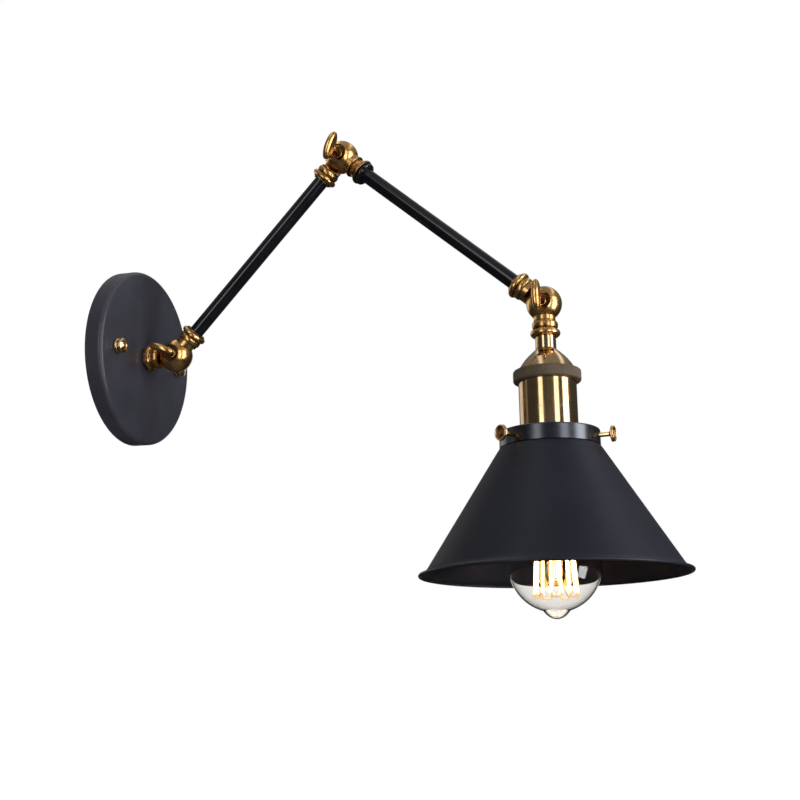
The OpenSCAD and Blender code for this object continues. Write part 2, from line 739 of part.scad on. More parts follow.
module thumbscrew(i) {
    tip = neck_out_r + seat_clear;
    end = fitter_r + thumb_show;
    back = end - thumb_head_h;
    edge_r = thumb_head_r - ring_gap;
    color("#c8963c") on_head() thumb_place(i) turned(concat(
        [[0, tip], [thumb_shaft_r, tip], [thumb_shaft_r, back], [edge_r, back]],
        arc(edge_r, back + ring_gap, ring_gap, -90, 0),
        pulled([thumb_head_r, back + ring_gap], [edge_r, end], [thumb_head_r / 2, end], [0, end],
            arc_steps)));
}
module thumbscrew_front() thumbscrew(0);
module thumbscrew_left() thumbscrew(1);
module thumbscrew_right() thumbscrew(2);

module shade() {
    out_r = neck_out_r;
    w = shade_wall;
    slope = (cone_end_r - fitter_r) / (cone_end_at - shade_top);
    // the cone's wall keeps its thickness along the radius, so the inner line is shifted inwards
    w_cone = w * sqrt(1 + slope * slope);
    rim_r = shade_d / 2 - roll_r;
    color("#26262a") on_head() union() {
        turned(concat(
            [[out_r - w, neck_top + neck_lip_h], [out_r, neck_top + neck_lip_h],
                [out_r + neck_lip, neck_top], [out_r + neck_lip - w, neck_top]]));
        turned([[out_r - w, neck_top + neck_lip_h], [out_r, neck_top + neck_lip_h], [out_r, shade_top],
            [fitter_r, shade_top + seat_clear + w / 2], [cone_end_r, cone_end_at], [rim_r, rim_at - roll_r],
            [rim_r - w, rim_at - roll_r + w / 2], [cone_end_r - w_cone, cone_end_at + w / 2],
            [fitter_r - w_cone, shade_top + seat_clear + w], [out_r - w, shade_top + w]]);
        rotate_extrude() translate([rim_r, rim_at - roll_r]) circle(r = roll_r, $fn = wing_fn);
    }
}

// Bulb

module bulb_base() {
    pitch = (base_h - 2 * ring_gap) / thread_count;
    root_r = base_r - thread_depth;
    threads = [for (k = [0:thread_count - 1]) each swell(base_foot + ring_gap + k * pitch,
        base_foot + ring_gap + (k + 1) * pitch, root_r, base_r)];
    color("#c4c0b6") on_head() turned(concat(
        [[root_r - base_wall, base_foot], [root_r, base_foot]], threads,
        [[root_r, base_end], [root_r - base_wall, base_end]]));
}

module bulb_contact() {
    root_r = base_r - thread_depth - base_wall;
    insulator_end = base_foot + insulator_h;
    color("#20201e") on_head() turned([[0, bulb_top], [button_r, bulb_top], [button_r, bulb_top + button_h],
        [button_r + ring_gap, bulb_top + button_h], [root_r, base_foot],
        [root_r - fit_clear, insulator_end], [0, insulator_end]]);
}

// The envelope's outline from its neck to the pip, drawn in by w
function glass_outline(w) = let (
    straight = widest_at - shoulder_at, high_r = shoulder_r - w, low_r = bulb_r - w,
    drop = round_end - widest_at - w, cap = acos(pip_r / bulb_r)) concat(
    [[glass_neck_r - w, base_end - glass_in_base], [glass_neck_r - w, base_end + seat_clear + w]],
    pulled([high_r, shoulder_at + w], [high_r, shoulder_at + straight * glass_upper_pull_share],
        [low_r, widest_at - straight * glass_lower_pull_share], [low_r, widest_at], glass_steps),
    [for (i = [1:glass_steps]) let (a = cap * i / glass_steps)
        [low_r * cos(a), widest_at + drop * sin(a) / sin(cap)]]);

module bulb_glass() {
    w = glass_wall;
    pip_mid = (round_end + bulb_tip) / 2;
    color([0.9, 0.92, 0.92, 0.35]) on_head() turned(concat(
        glass_outline(0),
        pulled([pip_r, round_end], [pip_r * pip_pull_share, pip_mid], [pip_tip_r, pip_mid],
            [pip_tip_r, bulb_tip - w], arc_steps),
        [[0, bulb_tip]], [[0, bulb_tip - 2 * w]],
        back(glass_outline(w))));
}

module bulb_stem() {
    color([0.9, 0.92, 0.92, 0.5]) on_head() turned(concat(
        [[0, stem_foot_at], [stem_foot_r, stem_foot_at]],
        pulled([stem_foot_r, stem_foot_at + ring_gap], [stem_foot_r / 2, stem_foot_at + ring_gap],
            [stem_waist_r, stem_waist_at - ring_gap], [stem_waist_r, stem_waist_at], arc_steps),
        [[stem_waist_r / 2, cage_top_at - ring_gap]],
        swell(cage_top_at - 2 * ring_gap, cage_top_at + 2 * ring_gap, stem_waist_r / 2, stem_button_r),
        [[stem_waist_r / 2, stem_end - 4 * ring_gap]],
        swell(stem_end - 4 * ring_gap, stem_end, stem_waist_r / 2, stem_button_r), [[0, stem_end]]));
}

// Corner k of the filament's zigzag, which goes down one strand and up the next
function strand_low(k) = (k + 1) % 4 >= 2;
function strand_turn(k) = 360 * floor(k / 2) / strand_count;
function corner(k) = let (a = strand_turn(k), low = strand_low(k), r = low ? cage_r : cage_top_r)
    [r * cos(a), r * sin(a), low ? cage_end : cage_top_at];
function unit(v) = v / norm(v);

module filament_hooks() {
    from_r = stem_button_r + hook_r;
    color("#8d8778") on_head() for (k = [0:2:2 * strand_count - 2]) {
        out = [cos(strand_turn(k)), sin(strand_turn(k)), 0];
        from_z = strand_low(k) ? stem_end - 2 * ring_gap : cage_top_at;
        rod(from_r * out + [0, 0, from_z], corner(k) - (strand_r + hook_r + fit_clear) * out, hook_r);
    }
}

// One closed wire through all corners: a ring of points lies in the mitre of each corner
module filament() {
    n = 2 * strand_count;
    points = [for (k = [0:n - 1]) let (c = corner(k), into = unit(c - corner((k + n - 1) % n)),
        out = unit(corner((k + 1) % n) - c), t = unit(into + out), square = cross(into, out),
        side = unit(square * sign(square * [c[0], c[1], 0])), up = cross(t, side) / (t * into))
        each [for (m = [0:hex_fn - 1]) let (a = 360 * m / hex_fn)
            c + strand_r * (cos(a) * side + sin(a) * up)]];
    faces = [for (k = [0:n - 1], m = [0:hex_fn - 1]) let (p = k * hex_fn, q = (k + 1) % n * hex_fn,
        m2 = (m + 1) % hex_fn) each [[p + m, q + m, q + m2], [p + m, q + m2, p + m2]]];
    color("#ffb45e") on_head() polyhedron(points = points, faces = faces);
}

wall_plate();
crossbar();
plate_studs();
cap_nuts();
earth_screw();
wall_knuckle();
plate_nipple();
plate_washer();
plate_locknut();
wall_friction_washer();
wall_joint_nut();
lower_arm_knuckle();
lower_tube();
lower_tube_washer();
elbow_lower_knuckle();
elbow_friction_washer();
elbow_joint_nut();
elbow_upper_knuckle();
upper_tube_bead();
upper_tube();
upper_arm_knuckle();
head_friction_washer();
head_joint_nut();
head_knuckle();
head_stem();
head_nipple();
head_locknut();
socket_cap();
knurled_ring();
socket_shell();
lampholder_insert();
contact_shell();
centre_contact();
shade_fitter();
clamp_ring();
shade();
wall_wing_screw();
elbow_wing_screw();
head_wing_screw();
thumbscrew_front();
thumbscrew_left();
thumbscrew_right();
bulb_base();
bulb_contact();
bulb_glass();
bulb_stem();
filament_hooks();
filament();
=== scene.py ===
import bmesh
import bpy
import numpy as np
from mathutils import Matrix, Vector


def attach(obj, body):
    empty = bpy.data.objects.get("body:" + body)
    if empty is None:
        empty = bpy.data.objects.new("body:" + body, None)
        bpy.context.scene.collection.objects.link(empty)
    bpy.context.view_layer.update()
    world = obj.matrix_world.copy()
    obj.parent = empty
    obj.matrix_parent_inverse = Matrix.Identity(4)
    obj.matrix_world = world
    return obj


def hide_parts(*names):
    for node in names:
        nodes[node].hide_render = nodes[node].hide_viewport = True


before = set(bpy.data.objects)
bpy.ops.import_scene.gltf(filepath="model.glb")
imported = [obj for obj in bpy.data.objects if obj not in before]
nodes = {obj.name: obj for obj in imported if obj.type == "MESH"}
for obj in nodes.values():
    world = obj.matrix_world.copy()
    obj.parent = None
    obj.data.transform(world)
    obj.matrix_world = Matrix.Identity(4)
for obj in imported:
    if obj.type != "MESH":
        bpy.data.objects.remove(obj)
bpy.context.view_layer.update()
mm = 0.001

# places of the joints, and how the arms and the head stand in the photo, as in the part's source
pose = {"lowerAngle": 47.5, "upperAngle": -40.0, "headAngle": -88.5, "jointOut": 39.0,
        "lowerLength": 198.8, "upperLength": 203.6, "plateDepth": 14.0}


def rising(angle):
    # a direction out from the wall that rises by an angle: (0, -cos a, sin a)
    a = np.radians(angle)
    return np.array([0, -np.cos(a), np.sin(a)])


jointOne = np.array([0, -pose["jointOut"], 0]) * mm
wallNormal = rising(0)
lowerAxis = rising(pose["lowerAngle"])
upperAxis = rising(pose["upperAngle"])
headAxis = rising(pose["headAngle"])
jointTwo = jointOne + pose["lowerLength"] * mm * lowerAxis
jointThree = jointTwo + pose["upperLength"] * mm * upperAxis


# profiles are (r, z) in millimetres, carried round an axis and then placed in metres
def arc(x, z, r, start, end, steps):
    # part of a circle: x + r cos t, z + r sin t
    t = np.radians(np.linspace(start, end, steps + 1))
    return np.stack([x + r * np.cos(t), z + r * np.sin(t)], 1)


def swell(z0, z1, r0, r1, steps=14):
    # half an oval: r = r0 + (r1 - r0) sin t, z from z0 to z1 as (1 - cos t) / 2
    t = np.linspace(0, np.pi, steps + 1)
    return np.stack([r0 + (r1 - r0) * np.sin(t), z0 + (z1 - z0) * (1 - np.cos(t)) / 2], 1)


def pulled(p, pullP, pullQ, q, steps=12):
    # a cubic Bezier curve: s^3 p + 3 s^2 t P + 3 s t^2 Q + t^3 q, with s = 1 - t
    t = np.linspace(0, 1, steps + 1)[:, None]
    s = 1 - t
    p, pullP, pullQ, q = (np.asarray(v, float) for v in (p, pullP, pullQ, q))
    return s ** 3 * p + 3 * s * s * t * pullP + 3 * s * t * t * pullQ + t ** 3 * q


def line(*points):
    # straight from point to point
    return np.array(points, float)


def turned(profile, around):
    # a profile (r, z) carried round the local z axis: x = r cos u, y = r sin u
    u = np.linspace(0, 2 * np.pi, around, endpoint=False)
    r, z = np.concatenate(profile).T if isinstance(profile, list) else profile.T
    height = np.repeat(z[:, None], around, 1)
    return np.stack([r[:, None] * np.cos(u), r[:, None] * np.sin(u), height], 2)


def turnedParts(parts, around=72):
    # a profile in parts, each with its own darkening by patina and painted shade: the turned grid, and that
    # darkening for each row
    grid = turned([part for part, stainAndShade in parts], around)
    return grid, np.concatenate([np.full(len(part), stainAndShade) for part, stainAndShade in parts])


def placed(points, origin, z, x=(1, 0, 0)):
    # local millimetres to metres at an origin: origin + px X + py (Z cross X) + pz Z
    z, x = np.asarray(z, float), np.asarray(x, float)
    y = np.cross(z, x)
    p = points.reshape(-1, 3) * mm
    return (origin + p[:, :1] * x + p[:, 1:2] * y + p[:, 2:] * z).reshape(points.shape)


def onHead(points):
    # heights along the head's axis count from the centre of its joint
    return placed(points, jointThree, headAxis)


def quads(rows, columns, wrapRows, wrapColumns):
    # the four corners of every cell of a grid of points
    down = np.arange(rows if wrapRows else rows - 1)
    across = np.arange(columns if wrapColumns else columns - 1)
    i, j = np.meshgrid(down, across, indexing="ij")
    i2, j2 = (i + 1) % rows, (j + 1) % columns
    corners = i * columns + j, i * columns + j2, i2 * columns + j2, i2 * columns + j
    return np.stack(corners, -1).reshape(-1, 4)


def piece(name, surfaces, finish, body, stands, sharp):
    # surfaces: (grid of points in metres, closed along rows, closed along columns, patina and painted shade
    # of each row)
    points, faces, stainsAndShade, start = [], [], [], 0
    for grid, wrapRows, wrapColumns, *stainAndShade in surfaces:
        points.append(grid.reshape(-1, 3))
        faces.append(quads(grid.shape[0], grid.shape[1], wrapRows, wrapColumns) + start)
        stainsAndShade.append(np.repeat(stainAndShade[0] if stainAndShade else np.zeros(grid.shape[0]), grid.shape[1]))
        start += grid.shape[0] * grid.shape[1]
    mesh = bpy.data.meshes.new(name)
    mesh.from_pydata(np.concatenate(points).tolist(), [], np.concatenate(faces).tolist())
    mesh.attributes.new("stainAndShade", "FLOAT", "POINT").data.foreach_set("value", np.concatenate(stainsAndShade))
    work = bmesh.new()
    work.from_mesh(mesh)
    bmesh.ops.remove_doubles(work, verts=work.verts, dist=2e-7)  # closes the poles
    bmesh.ops.dissolve_degenerate(work, dist=1e-7, edges=work.edges)
    bmesh.ops.recalc_face_normals(work, faces=work.faces)
    work.to_mesh(mesh)
    work.free()
    mesh.shade_smooth()
    mesh.set_sharp_from_angle(angle=np.radians(sharp))
    shape = bpy.data.objects.new(name, mesh)
    bpy.context.scene.collection.objects.link(shape)
    mesh.materials.append(finish)
    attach(shape, body)
    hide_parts(*stands)


class Wire:
    # one socket, with arithmetic that adds Math nodes
    def __init__(self, tree, socket=None):
        self.tree, self.socket = tree, socket

    def add(self, kind, sockets=None, out=0, **settings):
        # any node: its settings first, then the values or links of its sockets
        node = self.tree.nodes.new("ShaderNode" + kind)
        for key, value in settings.items():
            setattr(node, key, value)
        for key, value in (sockets or {}).items():
            if isinstance(value, Wire):
                self.tree.links.new(value.socket, node.inputs[key])
            else:
                node.inputs[key].default_value = value
        return Wire(self.tree, node.outputs[out] if node.outputs else None)

    def math(self, operation, a, b=0.0):
        return self.add("Math", {0: a, 1: b}, operation=operation)

    def __add__(self, other):
        return self.math("ADD", self, other)

    def __radd__(self, other):
        return self.math("ADD", other, self)

    def __sub__(self, other):
        return self.math("SUBTRACT", self, other)

    def __rsub__(self, other):
        return self.math("SUBTRACT", other, self)

    def __mul__(self, other):
        return self.math("MULTIPLY", self, other)

    def __rmul__(self, other):
        return self.math("MULTIPLY", other, self)

    def __abs__(self):
        return self.math("ABSOLUTE", self)

    def orMore(self, other):
        # the larger of two values
        return self.math("MAXIMUM", self, other)

    def step(self, low, high, toLow=0.0, toHigh=1.0):
        # a smooth step as this value goes from low to high
        span = {0: self, 1: low, 2: high, 3: toLow, 4: toHigh}
        return self.add("MapRange", span, interpolation_type="SMOOTHSTEP")

    def mix(self, a, b):
        # colour a where this value is 0, colour b where it is 1
        return self.add("Mix", {0: self, 6: a, 7: b}, out=2, data_type="RGBA")

    def noise(self, scale, detail=3.0, roughness=0.55):
        values = {"Vector": self.place(), "Scale": scale, "Detail": detail, "Roughness": roughness}
        return self.add("TexNoise", values)

    def place(self):
        return self.add("TexCoord", out="Object")

    def reach(self, axis):
        # how far this vector goes along an axis
        return self.add("VectorMath", {0: self, 1: tuple(axis)}, out="Value", operation="DOT_PRODUCT")

    def fromPoint(self, origin):
        return self.add("VectorMath", {0: self.place(), 1: tuple(origin)}, operation="SUBTRACT")

    def along(self, origin, axis):
        # distance along an axis from an origin
        return self.fromPoint(origin).reach(axis)

    def outFrom(self, origin, axis):
        # distance out from an axis through an origin
        p = self.fromPoint(origin)
        foot = self.add("VectorMath", {0: tuple(axis), "Scale": p.reach(axis)}, operation="SCALE")
        across = self.add("VectorMath", {0: p, 1: foot}, operation="SUBTRACT")
        return self.add("VectorMath", {0: across}, out="Value", operation="LENGTH")

    def ray(self, kind):
        return self.add("LightPath", out=kind)

    def seen(self):
        # 1 for what the camera sees, straight or through glass, without a reflection on the way
        mirrored = self.math("MINIMUM", self.ray("Glossy Depth"), 1.0)
        return self.ray("Is Camera Ray").orMore(self.ray("Is Transmission Ray") * (1 - mirrored))


def finishOf(name, fixed, paint):
    # fixed: constant socket values. paint: gives what varies, with "Height" for the bump
    made = bpy.data.materials.new(name)
    made.use_nodes = True
    tree = made.node_tree
    shader = tree.nodes["Principled BSDF"]
    for key, value in fixed.items():
        shader.inputs[key].default_value = value
    start = Wire(tree)
    varied = paint(start)
    if "Height" in varied:
        height, strength, distance = varied.pop("Height")
        bump = {"Height": height, "Strength": strength, "Distance": distance}
        varied["Normal"] = start.add("Bump", bump)
    for key, value in varied.items():
        tree.links.new(value.socket, shader.inputs[key])
    return made


def rgb(r, g, b):
    return (r, g, b, 1.0)


def grey(v):
    return rgb(v, v, v)


def powderCoat(name, colour, look):
    # fine orange peel, faint cloudiness and a few dull rubbed patches
    peelDepth = 0.00012

    def paint(w):
        cloud = w.noise(look["cloud"], 4.0)
        rub = w.noise(look["cloud"] * 3.1, 5.0, 0.65).step(0.52, 0.78)
        peel = w.noise(look["peel"], 2.0, 0.5)
        broadPeel = w.noise(look["peel"] * 0.3, 1.0)
        dark = rgb(*(c * 0.86 for c in colour[:3]))
        light = rgb(*(min(1.0, c * 1.16 + 0.002) for c in colour[:3]))
        return {"Base Color": cloud.step(0.3, 0.7).mix(dark, light),
                "Roughness": look["rough"] + (cloud - 0.5) * 0.08 + rub * 0.06 + (peel - 0.5) * 0.05,
                "Height": (peel + broadPeel * 0.7, look["bump"], peelDepth)}

    return finishOf(name, {"Coat Weight": look["coat"], "Coat Roughness": look["coatRough"],
                           "Specular IOR Level": look["gloss"],
                           "Specular Tint": look.get("tint", rgb(1, 1, 1))}, paint)


# dark places of the knuckles, darkened by patina together with painted shade, each from and to in metres:
# the wall, the floor and the upper end of the recess round a wing screw, the seam between the halves, and a
# turned groove
hollowPatinaAndShade = {"recessWall": (0.0064, 0.0070), "recessFloor": (0.0062, 0.0066), "recessTop": (0.0068, 0.0074),
           "seam": (0.0004, 0.0009), "groove": (0.0002, 0.0011),
           "recessPatinaAndShade": 0.92, "seamPatinaAndShade": 0.6, "groovePatinaAndShade": 0.75}


def turnedBrass(name, origin, axis, look):
    # polished brass with turning marks square to its axis, and dark patina with painted shade in grooves
    # and recesses
    markDepth = 0.00004

    def paint(w):
        s = w.along(origin, axis)
        rings = {"W": s * look["marks"], "Scale": 1.0, "Detail": 2.0}
        marks = w.add("TexNoise", rings, noise_dimensions="1D")
        cloud = w.noise(look["cloud"], 4.0, 0.6)
        smudge = w.noise(look["cloud"] * 4.3, 5.0, 0.65)
        patinaAndShade = smudge.step(0.46, 0.74) * look["stainAndShade"]
        # painted shade, together with patina, along the turned grooves
        for at in look.get("grooves", ()):
            near = 1 - abs(s - at * mm).step(*hollowPatinaAndShade["groove"])
            patinaAndShade = patinaAndShade.orMore(near * hollowPatinaAndShade["groovePatinaAndShade"])
        # painted shade, together with patina, on the floor of the recess round the wing screw and along the
        # seam
        if "ball" in look:
            side = abs(w.along(look["ball"], (1, 0, 0)))
            out = w.outFrom(look["ball"], (1, 0, 0))
            inRecess = 1 - out.step(*hollowPatinaAndShade["recessWall"])
            onFloor = side.step(*hollowPatinaAndShade["recessFloor"]) * (1 - side.step(*hollowPatinaAndShade["recessTop"]))
            seam = 1 - side.step(*hollowPatinaAndShade["seam"])
            recess = inRecess * onFloor * hollowPatinaAndShade["recessPatinaAndShade"]
            patinaAndShade = patinaAndShade.orMore(recess.orMore(seam * hollowPatinaAndShade["seamPatinaAndShade"]))
        # rows that the profile darkens: patina with painted shade in grooves, bores and dished faces
        if look.get("readsStainAndShade"):
            patinaAndShade = patinaAndShade.orMore(w.add("Attribute", out=2, attribute_name="stainAndShade"))
        base = cloud.step(0.3, 0.72).mix(look["deep"], look["gold"])
        # the dark colour stands for patina and for the painted shade in hollows
        return {"Base Color": patinaAndShade.mix(base, look["patinaAndShade"]),
                "Roughness": look["rough"] + patinaAndShade * 0.2 + (smudge - 0.5) * 0.07 + (marks - 0.5) * 0.04,
                "Height": (marks * 0.6 + cloud * 0.4, look["bump"], markDepth)}

    return finishOf(name, {"Metallic": 1.0}, paint)


antique = {"marks": 5200.0, "cloud": 70.0, "stainAndShade": 0.4, "rough": 0.23, "bump": 0.06,
           "gold": rgb(0.84, 0.52, 0.21), "deep": rgb(0.64, 0.36, 0.12), "patinaAndShade": rgb(0.05, 0.02, 0.01)}
bright = {"marks": 6400.0, "cloud": 160.0, "stainAndShade": 0.2, "rough": 0.12, "bump": 0.15, "readsStainAndShade": True,
          "gold": rgb(0.90, 0.64, 0.33), "deep": rgb(0.80, 0.51, 0.22), "patinaAndShade": rgb(0.24, 0.13, 0.06)}
aged = {"marks": 4200.0, "cloud": 40.0, "stainAndShade": 0.2, "rough": 0.13, "bump": 0.06,
        "gold": rgb(0.62, 0.44, 0.25), "deep": rgb(0.54, 0.36, 0.18), "patinaAndShade": rgb(0.20, 0.11, 0.05)}
steel = dict(bright, rough=0.34,
             gold=rgb(0.62, 0.62, 0.60), deep=rgb(0.5, 0.5, 0.49), patinaAndShade=rgb(0.3, 0.29, 0.27))
silver = dict(bright, rough=0.2,
              gold=rgb(0.72, 0.70, 0.66), deep=rgb(0.6, 0.58, 0.54), patinaAndShade=rgb(0.34, 0.31, 0.27))
dullWire = dict(bright, rough=0.35,
                gold=rgb(0.42, 0.38, 0.33), deep=rgb(0.3, 0.27, 0.24), patinaAndShade=rgb(0.14, 0.12, 0.1))

coats = {
    "plateBlack": (rgb(0.043, 0.043, 0.058), {"cloud": 24.0, "peel": 1900.0, "rough": 0.44, "bump": 0.1,
                                              "coat": 0.22, "coatRough": 0.1, "gloss": 0.28}),
    "shadeBlack": (rgb(0.007, 0.0074, 0.014), {"cloud": 18.0, "peel": 2100.0, "rough": 0.47, "bump": 0.15,
                                               "coat": 0.0, "coatRough": 0.3, "gloss": 0.36,
                                               "tint": rgb(0.86, 0.9, 1.0)}),
    "fitterBlack": (rgb(0.005, 0.005, 0.009), {"cloud": 40.0, "peel": 1700.0, "rough": 0.25, "bump": 0.1,
                                               "coat": 0.0, "coatRough": 0.2, "gloss": 1.0,
                                               "tint": rgb(0.84, 0.88, 1.0)}),
    "tubeBlack": (rgb(0.0065, 0.0065, 0.0095), {"cloud": 50.0, "peel": 900.0, "rough": 0.14, "bump": 0.03,
                                                "coat": 0.2, "coatRough": 0.05, "gloss": 0.3}),
    "darkBronze": (rgb(0.098, 0.073, 0.048), {"cloud": 120.0, "peel": 1500.0, "rough": 0.55, "bump": 0.9,
                                              "coat": 0.0, "coatRough": 0.5, "gloss": 0.4,
                                              "tint": rgb(1.0, 0.86, 0.7)}),
    "fibre": (rgb(0.05, 0.035, 0.028), {"cloud": 200.0, "peel": 3000.0, "rough": 0.8, "bump": 0.4,
                                        "coat": 0.0, "coatRough": 0.5, "gloss": 0.3}),
    "porcelain": (rgb(0.55, 0.53, 0.48), {"cloud": 60.0, "peel": 1200.0, "rough": 0.42, "bump": 0.2,
                                          "coat": 0.2, "coatRough": 0.3, "gloss": 0.5}),
    "insulator": (rgb(0.012, 0.011, 0.010), {"cloud": 300.0, "peel": 900.0, "rough": 0.12, "bump": 0.1,
                                             "coat": 0.4, "coatRough": 0.08, "gloss": 0.5})}
# origin and axis of the turning, and the look, with the places along the axis of the grooves darkened by
# patina and painted shade
brasses = {
    "wallBrass": (jointOne, -wallNormal, dict(antique, ball=jointOne, grooves=(-19.3, -13.1))),
    "lowerBrass": (jointOne, lowerAxis, dict(antique, ball=jointOne, grooves=(14.6, 19.2, 23.9))),
    "elbowLowBrass": (jointTwo, -lowerAxis, dict(antique, ball=jointTwo, grooves=(13.7, 18.3, 23.0))),
    "elbowHighBrass": (jointTwo, upperAxis, dict(antique, ball=jointTwo, grooves=(15.1, 22.9))),
    "upperBrass": (jointThree, -upperAxis, dict(antique, ball=jointThree, grooves=(17.0, 21.6, 26.3))),
    "headBrass": (jointThree, headAxis, dict(antique, ball=jointThree, grooves=(13.1, 18.9))),
    "agedBrass": (jointThree, headAxis, dict(aged, grooves=(33.6,))),
    "wingBrass": (jointOne, np.array([1.0, 0, 0]), dict(antique, stainAndShade=0.6, readsStainAndShade=True)),
    "capBrass": (jointOne, -wallNormal, bright),
    "thumbBrass": (jointThree, headAxis, bright),
    "plainBrass": (jointThree, headAxis, dict(bright, stainAndShade=0.5, rough=0.3)),
    "zincSteel": (np.zeros(3), wallNormal, steel),
    "nickel": (jointThree, headAxis, silver),
    "hookWire": (jointThree, headAxis, dullWire)}
finishes = {name: powderCoat(name, *coat) for name, coat in coats.items()}
finishes.update({name: turnedBrass(name, *brass) for name, brass in brasses.items()})


def clearGlass(name, tint):
    # clear glass, faintly wavy and faintly hazy in patches
    haze, waveDepth = 0.018, 0.0006

    def paint(w):
        return {"Roughness": w.noise(70.0, 3.0).step(0.35, 0.8, 0.0, haze),
                "Height": (w.noise(38.0, 1.5), 0.10, waveDepth)}

    return finishOf(name, {"Base Color": tint, "Transmission Weight": 1.0, "IOR": 1.46,
                           "Specular IOR Level": 0.5}, paint)


# the wire's light: where it comes up and where it fades, in metres along the head's axis
wireGlow = {"from": (0.136, 0.146), "to": (0.200, 0.205), "strength": 26.0, "wire": rgb(0.2, 0.12, 0.08),
            "hot": rgb(1.0, 0.52, 0.16), "cool": rgb(0.030, 0.021, 0.0115)}


def glowingWire(name):
    # a little uneven along the wire, and cooler near the supports
    def paint(w):
        s = w.along(jointThree, headAxis)
        lit = s.step(*wireGlow["from"]) * (1 - s.step(*wireGlow["to"]))
        heat = lit * (0.8 + w.noise(420.0, 2.0) * 0.4)
        return {"Emission Color": heat.step(0.2, 0.9).mix(wireGlow["cool"], wireGlow["hot"]),
                "Roughness": 0.4 + w.noise(900.0) * 0.2}

    return finishOf(name, {"Base Color": wireGlow["wire"],
                           "Emission Strength": wireGlow["strength"]}, paint)


finishes["bulbGlass"] = clearGlass("bulbGlass", rgb(0.982, 0.966, 0.942))
finishes["stemGlass"] = clearGlass("stemGlass", rgb(0.97, 0.97, 0.95))
finishes["filamentGlow"] = glowingWire("filamentGlow")

worn = {
    "plateBlack": ["wall_plate"], "shadeBlack": ["shade"], "fitterBlack": ["shade_fitter"],
    "tubeBlack": ["lower_tube", "lower_tube_washer", "upper_tube_bead", "upper_tube"],
    "darkBronze": ["knurled_ring"],
    "fibre": ["wall_friction_washer", "elbow_friction_washer", "head_friction_washer"],
    "porcelain": ["lampholder_insert", "clamp_ring"], "insulator": ["bulb_contact"],
    "wallBrass": ["wall_knuckle"], "lowerBrass": ["lower_arm_knuckle"],
    "elbowLowBrass": ["elbow_lower_knuckle"], "elbowHighBrass": ["elbow_upper_knuckle"],
    "upperBrass": ["upper_arm_knuckle"], "headBrass": ["head_knuckle"],
    "agedBrass": ["head_stem", "socket_cap", "socket_shell"],
    "wingBrass": ["wall_wing_screw", "elbow_wing_screw", "head_wing_screw"], "capBrass": ["cap_nuts"],
    "thumbBrass": ["thumbscrew_front", "thumbscrew_left", "thumbscrew_right"],
    "plainBrass": ["plate_nipple", "plate_locknut", "wall_joint_nut", "elbow_joint_nut", "head_joint_nut",
                   "head_nipple", "head_locknut", "contact_shell", "centre_contact"],
    "zincSteel": ["crossbar", "plate_studs", "earth_screw", "plate_washer"], "nickel": ["bulb_base"],
    "bulbGlass": ["bulb_glass"], "stemGlass": ["bulb_stem"], "hookWire": ["filament_hooks"],
    "filamentGlow": ["filament"]}
for finish, names in worn.items():
    for name in names:
        node = nodes[name]
        if not node.material_slots:
            node.data.materials.append(finishes[finish])
        for slot in node.material_slots:
            slot.material = finishes[finish]
print("materials:", len(finishes), "on", sum(len(names) for names in worn.values()), "nodes")

# shade: one spun sheet, from the neck in the fitter to the rolled edge
shade = {"neckR": 32.35, "neckTop": 94.0, "topR": 34.75, "top": 103.3, "coneR": 86.1, "coneEnd": 185.0,
         "rimR": 91.4, "rim": 191.0, "roll": 1.1, "wall": 0.8, "bend": 0.9, "around": 256}


def shadeOutside(k):
    # neck, small bend, start of the slope, a pulled curve down the cone and one out to the edge
    neck, top, cone, rim = k["neckR"], k["topR"], k["coneR"], k["rimR"]
    start, slope, flare, edge = k["neckTop"], k["top"], k["coneEnd"], k["rim"]
    return np.concatenate([
        line((neck + 0.6, start), (neck, start + 0.8), (neck, slope - 0.8)),
        arc(neck + k["bend"], slope - 0.7, k["bend"], 180, 120, 4)[1:],
        line((top - 0.9, slope + 0.15), (top - 0.1, slope + 0.45), (top + 0.3, slope + 0.75)),
        pulled((top + 3.4, slope + 5.5), (top + 14, slope + 22.4),
               (cone - 12, flare - 19.1), (cone - 1.0, flare - 1.6), 34),
        pulled((cone, flare), (cone + 1.6, flare + 2.4),
               (rim - 2.4, edge - 2.7), (rim - 0.6, edge - 2.05), 8)])


def shadeRoll(k):
    # most of a circle at the edge, with the gap inside
    return arc(k["rimR"], k["rim"] - k["roll"], k["roll"], 100, -215, 22)


def offset(profile, amount):
    # each point moved by an amount square to the profile's own direction there
    step = np.gradient(profile, axis=0)
    step /= np.linalg.norm(step, axis=1)[:, None]
    return profile + amount * np.stack([-step[:, 1], step[:, 0]], 1)


outer = shadeOutside(shade)
inner = offset(outer, shade["wall"])
sheet = onHead(turned([outer, inner[::-1]], shade["around"]))
roll = onHead(turned(shadeRoll(shade), shade["around"]))
piece("coneShade", [(sheet, True, True), (roll, True, True)], finishes["shadeBlack"],
      "lamp_head", ["shade"], 40)
print("shade: spun")

# wing screws: a turned foot and neck with a dished oval key, each with its lean from upright
wing = {"length": 22.0, "width": 11.0, "middle": 6.0, "at": 24.0, "foot": 6.7, "footR": 3.5, "footH": 1.6,
        "neckR": 2.8, "screwR": 2.5, "nutEnd": 10.7, "outline": 0.7, "crown": 0.75,
        "dish": 0.11, "dishSize": 0.62, "bridge": 2.6,
        "leans": {"wall_wing": (-69.0, jointOne), "elbow_wing": (21.0, jointTwo),
                  "head_wing": (-2.0, jointThree)}}


